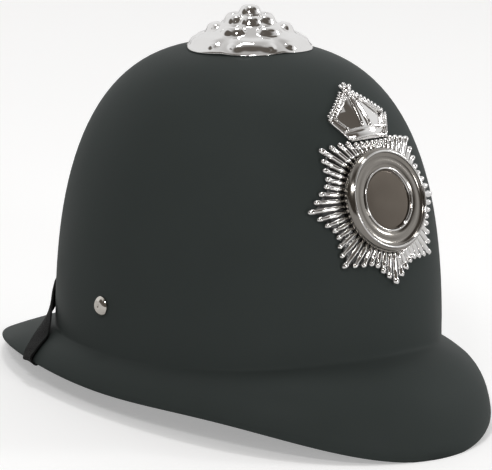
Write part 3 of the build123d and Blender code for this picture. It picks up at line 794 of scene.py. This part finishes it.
# The star's base plate stops short of the rays' ends and is notched between them.
plate_inset, plate_notch, plate_low, plate_high = 1.2, 1.4, 0.3, 1.1
plate_splits, plate_edge = 2, 4
point_bulb, ray_bulb = 1.85, 1.6
# Sections of a ray from the ring outwards: share of the way, half width, rise.
ray_sections = ((0, 1.35, 1.9), (0.35, 1.4, 2.1), (0.7, 1.45, 2.2))
tip_steps, tip_reach, tip_roundness = 5, 0.98, 0.93
neck_width, neck_growth, neck_steps = 0.78, 0.11, 2
tip_height, tip_lift = 1.35, 0.35
bar_skin, ray_sides, bar_sides = 0.5, 8, 6
ball_mesh = {"u_segments": 12, "v_segments": 8}

ring_radius, bore_radius = 25.9, 15.6
ring_inset, ring_skin, ring_turns = 0.6, 1.0, 120
# Beads of the ring: distance from the middle, radius, level over the seat.
outer_bead, inner_bead = (24.7, 0.55, 4.0), (bore_radius + 0.5, 0.5, 2.9)
bead_stretch, bead_steps = 1.1, 6
# Rest of the ring's section: distance from the middle, level over the seat.
ring_channel = ((24.0, 2.3), (20.4, 3.0), (bore_radius + 1.15, 3.15))
ring_ledge = ((bore_radius, 1.5), (bore_radius - 1.4, 1.5), (bore_radius - 1.4, 1.2))
ring_foot = (ring_radius - ring_inset, ring_radius + 1.1)
ring_flange = ((ring_radius + 1.0, 1.8), (ring_radius + 0.5, 2.8), (25.45, 3.8))
# Faces with the darker plating: between two distances over a level (the channel), or past a third
# (the flange, where the darker plating is painted shade).
channel_inner, channel_outer, channel_level, flange_inner = bore_radius + 0.95, 24.08, 2.2, 25.2

disc_gap, disc_rows, disc_turns = 0.25, 14, 96
disc_edge, disc_rise, disc_under = 1.9, 0.5, 1.3

crown_foot, crown_tall, crown_shadow, crown_gap = 31.8, 25.8, radians(24), 0.6
crown_top = crown_foot + crown_tall
# Right half of the crown's outline, from its foot to its top: across, up.
crown_half = ((11.8, 31.8), (15.8, 38.0), (19.7, 44.3), (12.8, 51.0), (2.9, 57.6))
crown_low, crown_edge_level, crown_ridge, crown_ridge_reach = 0.3, 0.9, 1.5, 16
# Bars on each half: start, end, half width, rise, rows.
crown_bars = (
    (crown_half[0], crown_half[2], 0.8, 2.0, 6),
    ((16.2, 44.6), (3.4, 54.6), 0.7, 2.5, 8),
    ((15.9, 44.2), (10.9, 37.8), 0.55, 2.2, 6),
    ((2.75, crown_foot + 6.4), (1.1, crown_top - 2), 0.85, 3.3, 8),
)
# Bands over the foot: height at their ends, reach to each side, half width, rise.
crown_bands = ((crown_foot + 5.2, 14.4, 0.8, 3.0), (crown_foot + 0.8, 11.6, 0.9, 2.4))
band_arch, band_steps = 0.9, 10
# Rolled beads along each upper edge: the run's start and end, count, radius, lift, stretch.
roll_start, roll_end, roll_count = (18.9, 45.0), (3.3, 57.4), 9
roll_radius, roll_lift, roll_stretch = 1.25, 1.2, (0.72, 1.5)
# Beads of the finial: across, up from the crown's top, radius, lift, stretch.
finial = (
    (0, 0.6, 2.4, 2.2, (1.35, 0.9)),
    (0.2, 3.0, 1.25, 2.7, (1, 1)),
    (-2.7, 2.0, 1.2, 2.7, (1, 1)),
    (3.1, 1.9, 1.2, 2.7, (1, 1)),
)


def draped_plate(outline, low, high):
    """Thin plate with the outline's shape, laid on the dome; high(across) is its top."""
    bm = bmesh.new()
    face = bm.faces.new([bm.verts.new((x, y, 0)) for x, y in outline])
    bmesh.ops.triangulate(bm, faces=[face])
    for _ in range(plate_splits):
        long = [edge for edge in bm.edges if edge.calc_length() > plate_edge]
        bmesh.ops.subdivide_edges(bm, edges=long, cuts=1, use_grid_fill=False)
        bmesh.ops.triangulate(bm, faces=bm.faces)
    whole = bm.faces[:] + bm.edges[:] + bm.verts[:]
    made = bmesh.ops.extrude_face_region(bm, geom=whole)["geom"]
    lifted = {item for item in made if isinstance(item, bmesh.types.BMVert)}
    for vert in bm.verts:
        across = vert.co.x
        foot = badge_seat.on_dome(across, vert.co.y)
        vert.co = foot + dome_normal(foot) * (high(across) if vert in lifted else low)
    return bm


def lay_bar(bm, sides, run):
    """Half-round bar on the dome through (across, up, half width, rise) places."""
    row, edges, first = [], [], []
    for index, (across, up, half, rise) in enumerate(run):
        foot = badge_seat.on_dome(across, up, bar_skin)
        out = dome_normal(foot)
        here = Vector(run[max(index - 1, 0)][:2])
        there = Vector(run[min(index + 1, len(run) - 1)][:2])
        ahead = there - here
        heading = (badge_seat.across * ahead.x + badge_seat.up * ahead.y).normalized()
        side = heading.cross(out).normalized()
        points = [
            foot + side * x + out * y for x, y in arc((0, 0), half, rise, 0, pi, sides)
        ]
        if index == 0:
            row, edges = start_row(bm, points, closed=False)
            first = row
            continue
        row, edges = next_row(bm, row, edges)
        for vert, point in zip(row, points):
            vert.co = point
    bm.faces.new(first)
    bm.faces.new(list(reversed(row)))


def lay_bead(bm, across, up, radius, lift, stretch, turn=0.0):
    """Bead on the dome, stretched along and across a heading."""
    foot = badge_seat.on_dome(across, up)
    out = dome_normal(foot)
    made = bmesh.ops.create_uvsphere(bm, radius=radius, **ball_mesh)["verts"]
    heading = (badge_seat.across * cos(turn) + badge_seat.up * sin(turn)).normalized()
    aside = out.cross(heading).normalized()
    turned = Matrix((aside.cross(out), aside, out)).transposed().to_4x4()
    place = Matrix.Translation(foot + out * lift) @ turned @ Matrix.Diagonal((*stretch, 1, 1))
    bmesh.ops.transform(bm, matrix=place, verts=made)


def ray_reach(index):
    """Length of one ray, shorter between the points and under the crown."""
    middle = rays_per_point // 2
    step = abs((index + middle) % rays_per_point - middle)
    dip = (step / (middle + 0.5)) ** star_waist_power
    reach = star_radius - (star_radius - star_waist) * dip
    upward = -cos(2 * pi * index / (star_points * rays_per_point))
    if upward > cos(crown_shadow):
        return min(reach, (crown_foot - crown_gap) / upward)
    return reach


def ray_run(index, turn):
    """Places along one ray, from the ring to its rounded tip."""
    reach = ray_reach(index)
    bulb = ray_bulb if index % rays_per_point else point_bulb
    root = ring_radius - ring_inset
    sections = []
    for share, half, rise in ray_sections:
        sections.append((root + (reach - 2 * bulb - root) * share, half, rise))
    for step in range(tip_steps + 1):
        lean = cos(pi * step / tip_steps)
        if step > neck_steps:
            size = bulb * sqrt(1 - (lean * tip_roundness) ** 2)
        else:
            size = bulb * (neck_width + neck_growth * step)
        distance = reach - bulb - bulb * lean * tip_reach
        sections.append((distance, size, tip_height * size + tip_lift))
    return [(out * sin(turn), -out * cos(turn), half, rise) for out, half, rise in sections]


def make_star():
    """Base plate coloured dark as painted shade between the bright half-round rays, each ray with a
    rounded tip.
    """
    count = star_points * rays_per_point
    outline = []
    for index in range(count):
        end = ray_reach(index) - plate_inset
        notch = min(end, ray_reach(index + 1) - plate_inset) - plate_notch
        for reach, place in ((end, index), (notch, index + 0.5)):
            turn = 2 * pi * place / count
            outline.append((reach * sin(turn), -reach * cos(turn)))
    bm = draped_plate(outline, plate_low, lambda across: plate_high)
    # The whole base plate takes the dark plating, as painted shade between the rays.
    for face in bm.faces:
        face.material_index = 1
    for index in range(count):
        lay_bar(bm, ray_sides, ray_run(index, 2 * pi * index / count))
    finish_piece("fluted_star", bm, "bright_chrome", ["badge_star"], second="shaded_plating")


def make_ring():
    """Ring with two fine beads, a darker channel between them, and a flange outside them darkened
    as painted shade.
    """
    rounds = []
    for centre, radius, level in (outer_bead, inner_bead):
        rounds.append(arc((centre, level), radius, bead_stretch * radius, 0, pi, bead_steps))
    section = rounds[0] + list(ring_channel) + rounds[1] + list(ring_ledge)
    foot_rows = range(len(section), len(section) + len(ring_foot))
    section += [(reach, 0) for reach in ring_foot] + list(ring_flange)

    def place(bearing, row):
        reach, out = section[row]
        x, y = reach * sin(bearing), -reach * cos(bearing)
        if row in foot_rows:
            return badge_seat.on_dome(x, y, ring_skin)
        return badge_seat.at(x, y, out)

    bm = spun(len(section), ring_turns, place, closed=True)
    for face in bm.faces:
        middle = face.calc_center_median() - badge_seat.origin
        reach = hypot(middle.dot(badge_seat.across), middle.dot(badge_seat.up))
        level = middle.dot(badge_seat.out)
        sunk = channel_inner < reach < channel_outer and level > channel_level
        # Channel faces take the darker plating; flange faces take it as painted shade.
        if sunk or reach > flange_inner:
            face.material_index = 1
    finish_piece("badge_ring_beads", bm, "bright_chrome", ["badge_ring"], second="ring_channel")


def make_disc():
    """Plain disc, a little higher in the middle."""
    radius = bore_radius - disc_gap

    def place(bearing, row):
        if row < disc_rows:
            reach = radius * row / (disc_rows - 1)
            level = disc_edge + disc_rise * (1 - (reach / radius) ** 2)
        else:
            reach, level = radius, disc_under
        return badge_seat.at(reach * sin(bearing), -reach * cos(bearing), level)

    bm = spun(disc_rows + 1, disc_turns, place)
    bmesh.ops.remove_doubles(bm, verts=bm.verts, dist=weld)
    close_rim(bm)
    finish_piece("dished_disc", bm, "dark_disc", ["badge_disc"])


def crown_face(across):
    """Top of the crown's plate, sloping to both sides."""
    return crown_edge_level + crown_ridge * max(1 - abs(across) / crown_ridge_reach, 0)


def make_crown():
    """Crown with two sloping panels, double middle rib, rolled beads, bands and a finial."""
    outline = list(crown_half) + [(-x, y) for x, y in reversed(crown_half)]
    bm = draped_plate(outline, crown_low, crown_face)
    for side in (-1, 1):
        for start, end, half, rise, rows in crown_bars:
            spots = [part_way(start, end, row / (rows - 1)) for row in range(rows)]
            lay_bar(bm, bar_sides, [(side * x, y, half, rise) for x, y in spots])
        start, end = ((side * x, y) for x, y in (roll_start, roll_end))
        slant = atan2(end[1] - start[1], end[0] - start[0])
        for number in range(roll_count):
            spot = part_way(start, end, (number + 0.5) / roll_count)
            lay_bead(bm, *spot, roll_radius, roll_lift, roll_stretch, slant)
    for level, reach, half, rise in crown_bands:
        run = []
        for step in range(band_steps + 1):
            across = reach * (step - band_steps / 2) / (band_steps / 2)
            run.append((across, level + band_arch * (1 - (across / reach) ** 2), half, rise))
        lay_bar(bm, bar_sides, run)
    for across, up, radius, lift, stretch in finial:
        lay_bead(bm, across, crown_top + up, radius, lift, stretch)
    finish_piece("crown_plate", bm, "bright_chrome", ["badge_crown"])


# ---- chin strap
strap_width, strap_thickness, strap_lift, strap_spacing = 11.0, 1.3, 0.55, 1.0
collar_thickness, tab_thickness, tab_dip = 2.8, 1.0, radians(37)
# Hem round the tab's bar: along the tab from the rivet, out from the tab's inner face.
hem_fold = (
    (18.2, 0.62), (16.4, 0.5), (14.8, -0.55), (13.0, -0.98), (11.5, -0.75),
    (10.95, 0.5), (11.5, 1.75), (13.0, 1.98), (15.5, 1.96), (18.2, 1.95),
)
# Stations over the shell: bearing in degrees, place (a share of the way out along the brim
# above 0, of the dome's height over its seam below 0), inside -1 or outside 1, lean outward.
strap_rows = (
    (108.6, -0.045, -1, 0), (110.6, 0, -1, 0), (112.6, 0.16, -1, 0), (115.6, 0.45, -1, 0),
    (117.2, 0.80, -1, 0), (117.7, 1.00, -1, 0), (117.8, 1.00, -1, 45), (117.9, 1.00, 1, 45),
    (118.0, 1.00, 1, 0), (119.6, 0.80, 1, 0), (122.8, 0.58, 1, 0), (140.0, -0.070, 1, 0),
    (146.0, -0.092, 1, 0), (152.0, -0.108, 1, 0), (158.0, -0.124, 1, 0),
    (165.5, -0.138, 1, 0), (173.0, -0.147, 1, 0), (180.0, -0.150, 1, 0),
)
free_span, free_steps = 20, 5
end_reach, middle_snap, middle_weld = 9, 0.6, 0.05
# Reach behind and ahead of the hinge, along the tab.
bend_start, bend_end = 30, 47


def strap_spot(row, height):
    bearing, place, side, lean = row
    skin = height * cos(radians(lean))
    base = skin if side > 0 else -wall - skin
    if place > 0:
        return brim_point(radians(bearing), place, base, height * sin(radians(lean)))
    seam = around(seam_terms, radians(bearing))
    return dome_point(radians(bearing), seam - (dome_height - seam) * place, base)


def strap_stations(seat, along_tab):
    """Middle line and facing of the strap's right half, from its hem to the back."""
    level = -seat_gap - collar_thickness - tab_thickness
    across = seat.out.cross(along_tab)
    points = [seat.origin + along_tab * along + seat.out * (level + out) for along, out in hem_fold]
    ways = []
    for index in range(len(points)):
        ahead = points[min(index + 1, len(points) - 1)] - points[max(index - 1, 0)]
        ways.append(across.cross(ahead.normalized()).normalized())
    for row in strap_rows:
        near, far = strap_spot(row, strap_lift), strap_spot(row, strap_lift + strap_thickness)
        spot, up = (near + far) / 2, (far - near).normalized()
        if (spot - points[-1]).length > free_span:
            last, last_up = points[-1], ways[-1]
            for step in range(1, free_steps):
                points.append(last.lerp(spot, step / free_steps))
                ways.append(last_up.lerp(up, step / free_steps).normalized())
        points.append(spot)
        ways.append(up)
    return smooth_steps(points, ways, strap_spacing)


def make_chin_strap():
    """Elastic strap from hem to hem, its right half mirrored to the left."""
    seat = Seat(rivet_place, dome_normal(rivet_place, -wall), (0, 1, 0))
    along_tab = seat.across * cos(tab_dip) - seat.up * sin(tab_dip)
    stations = strap_stations(seat, along_tab)
    bm = ribbon(stations, strap_width, strap_thickness, closed_ends=False)
    close_rim(bm, stations[0][0], end_reach)
    for vert in bm.verts:
        if vert.co.x < middle_snap:
            vert.co.x = 0
    whole = bm.verts[:] + bm.edges[:] + bm.faces[:]
    bmesh.ops.mirror(bm, geom=whole, axis="X", merge_dist=middle_weld)
    axis = Vector((0, seat.origin.y, seat.origin.z))
    way = Vector((0, cos(tab_dip), -sin(tab_dip)))
    start, end = to_rest @ (axis - way * bend_start), to_rest @ (axis + way * bend_end)
    bend = ("helmet", "chin_strap", start, end)
    finish_piece("chin_strap_elastic", bm, "elastic_black", ["chin_strap"], bend=bend)


# ---- harness
sweat_half = 0.7
sweat_side, sweat_end = 83.0 - sweat_half, 99.75 - sweat_half
roll_level, roll_size, roll_shift = 5.3, 1.15, 0.1
sweat_outer_low, sweat_inner_low, sweat_high, sweat_top = 7.5, 8.0, 31.0, 32.2
sweat_bulge, sweat_rows, sweat_turns = 0.5, 6, 128
stitch_count, stitch_level, stitch_inset, stitch_size = 150, 9.2, 1.15, (2.4, 0.35, 0.4)
stitch_probe = 0.01

band_inset = 3.75
band_gap_end, band_gap_side, band_high = 5.3, 5.8, 35
web_width, web_thickness, web_half, web_spacing = 20, 1.1, 0.6, 3.0
web_foot_heights, web_steps = (10.6, 18, 27), 24
long_span = half_length - band_inset - band_gap_end
cross_span = half_width - band_inset - band_gap_side
# Crown straps: piece, node, heading, half span, height of the top.
webs = (
    ("crown_web_long", "crown_strap_long", (0, 1, 0), long_span, 120.2),
    ("crown_web_cross", "crown_strap_cross", (1, 0, 0), cross_span, 118.0),
)

foam_voxel, foam_passes, foam_weld = 0.0009, 6, 0.00001


def oval(bearing, side, end, height):
    return Vector((side * sin(bearing), dome_setback - end * cos(bearing), height))


def add_stitch(bm, bearing):
    spot = oval(bearing, sweat_side - stitch_inset, sweat_end - stitch_inset, stitch_level)
    ahead = oval(bearing + stitch_probe, sweat_side, sweat_end, 0)
    heading = (ahead - oval(bearing, sweat_side, sweat_end, 0)).normalized()
    upright = Vector((0, 0, 1))
    turned = Matrix((heading, upright.cross(heading), upright)).transposed().to_4x4()
    made = bmesh.ops.create_cube(bm, size=1.0)["verts"]
    place = Matrix.Translation(spot) @ turned @ Matrix.Diagonal((*stitch_size, 1))
    bmesh.ops.transform(bm, matrix=place, verts=made)


def make_sweatband():
    """Leather band with a rolled lower edge and a stitched line."""
    section = arc((-roll_shift, roll_level), roll_size, roll_size, -pi / 2, pi / 2, 8)
    outer, inner = sweat_high - sweat_outer_low, sweat_high - sweat_inner_low
    for step in range(sweat_rows + 1):
        section.append((sweat_half, sweat_outer_low + outer * step / sweat_rows))
    section += arc((0, sweat_top), sweat_half, sweat_half, 0, pi, 4)
    for step in range(sweat_rows + 1):
        out = -sweat_half - sweat_bulge * sin(pi * step / sweat_rows)
        section.append((out, sweat_high - inner * step / sweat_rows))
    section.append((-roll_shift - roll_size, roll_level))

    def place(bearing, row):
        out, height = section[row]
        return oval(bearing, sweat_side + out, sweat_end + out, height)

    bm = spun(len(section), sweat_turns, place, closed=True)
    for index in range(stitch_count):
        add_stitch(bm, 2 * pi * index / stitch_count)
    finish_piece("leather_sweatband", bm, "sweat_leather", ["sweatband"])


def make_web(name, node, heading, span, top):
    """Crown strap along an arch, with its feet on the headband."""
    heading, upright = Vector(heading), Vector((0, 0, 1))
    centre = Vector((0, dome_setback, 0))
    reach = span - web_half
    shoulder = band_high + seat_gap
    feet = [upright * height for height in web_foot_heights]
    points = [centre - heading * reach + foot for foot in feet]
    ways = [-heading for _ in feet]
    for step in range(web_steps + 1):
        turn = pi * step / web_steps
        height = shoulder + (top - web_half - shoulder) * sin(turn)
        points.append(centre - heading * reach * cos(turn) + upright * height)
        rise = upright * sin(turn) * reach
        ways.append((-heading * cos(turn) * (top - band_high) + rise).normalized())
    points += [centre + heading * reach + foot for foot in reversed(feet)]
    ways += [heading for _ in feet]
    bm = ribbon(smooth_steps(points, ways, web_spacing), web_width, web_thickness)
    finish_piece(name, bm, "web_black", [node])


def make_spacers():
    """Foam blocks, softened from the plain blocks that they stand for."""
    bm = bmesh.new()
    bm.from_mesh(nodes["headband_spacers"].data)
    bmesh.ops.remove_doubles(bm, verts=bm.verts, dist=foam_weld)
    piece = add_mesh("foam_spacers", bm)
    remesh = piece.modifiers.new("remesh", "REMESH")
    remesh.mode = "VOXEL"
    remesh.voxel_size = foam_voxel
    smooth = piece.modifiers.new("soften", "SMOOTH")
    smooth.factor = 0.5
    smooth.iterations = foam_passes
    bpy.context.view_layer.update()
    evaluated = piece.evaluated_get(bpy.context.evaluated_depsgraph_get())
    shaped = bpy.data.meshes.new_from_object(evaluated)
    piece.modifiers.clear()
    piece.data = shaped
    shaped.name = "foam_spacers_mesh"
    shaped.materials.clear()
    shaped.materials.append(finishes["foam_grey"])
    shaped.shade_smooth()
    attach(piece, "helmet")
    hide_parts("headband_spacers")


def finish_nodes():
    """Gives the carried-over fasteners and bands their finishes."""
    slots = {part["node"]: part["material_slot"] for part in frame["record"]["subparts"]}
    for name, node in nodes.items():
        finish = finishes[slots[name]]
        if not node.material_slots:
            node.data.materials.append(finish)
        for entry in node.material_slots:
            entry.material = finish


def main():
    make_finishes()
    aim_camera()
    light_studio()
    lay_floor()
    finish_nodes()
    make_shell()
    make_boss()
    make_star()
    make_ring()
    make_disc()
    make_crown()
    make_chin_strap()
    make_sweatband()
    for web in webs:
        make_web(*web)
    make_spacers()


main()
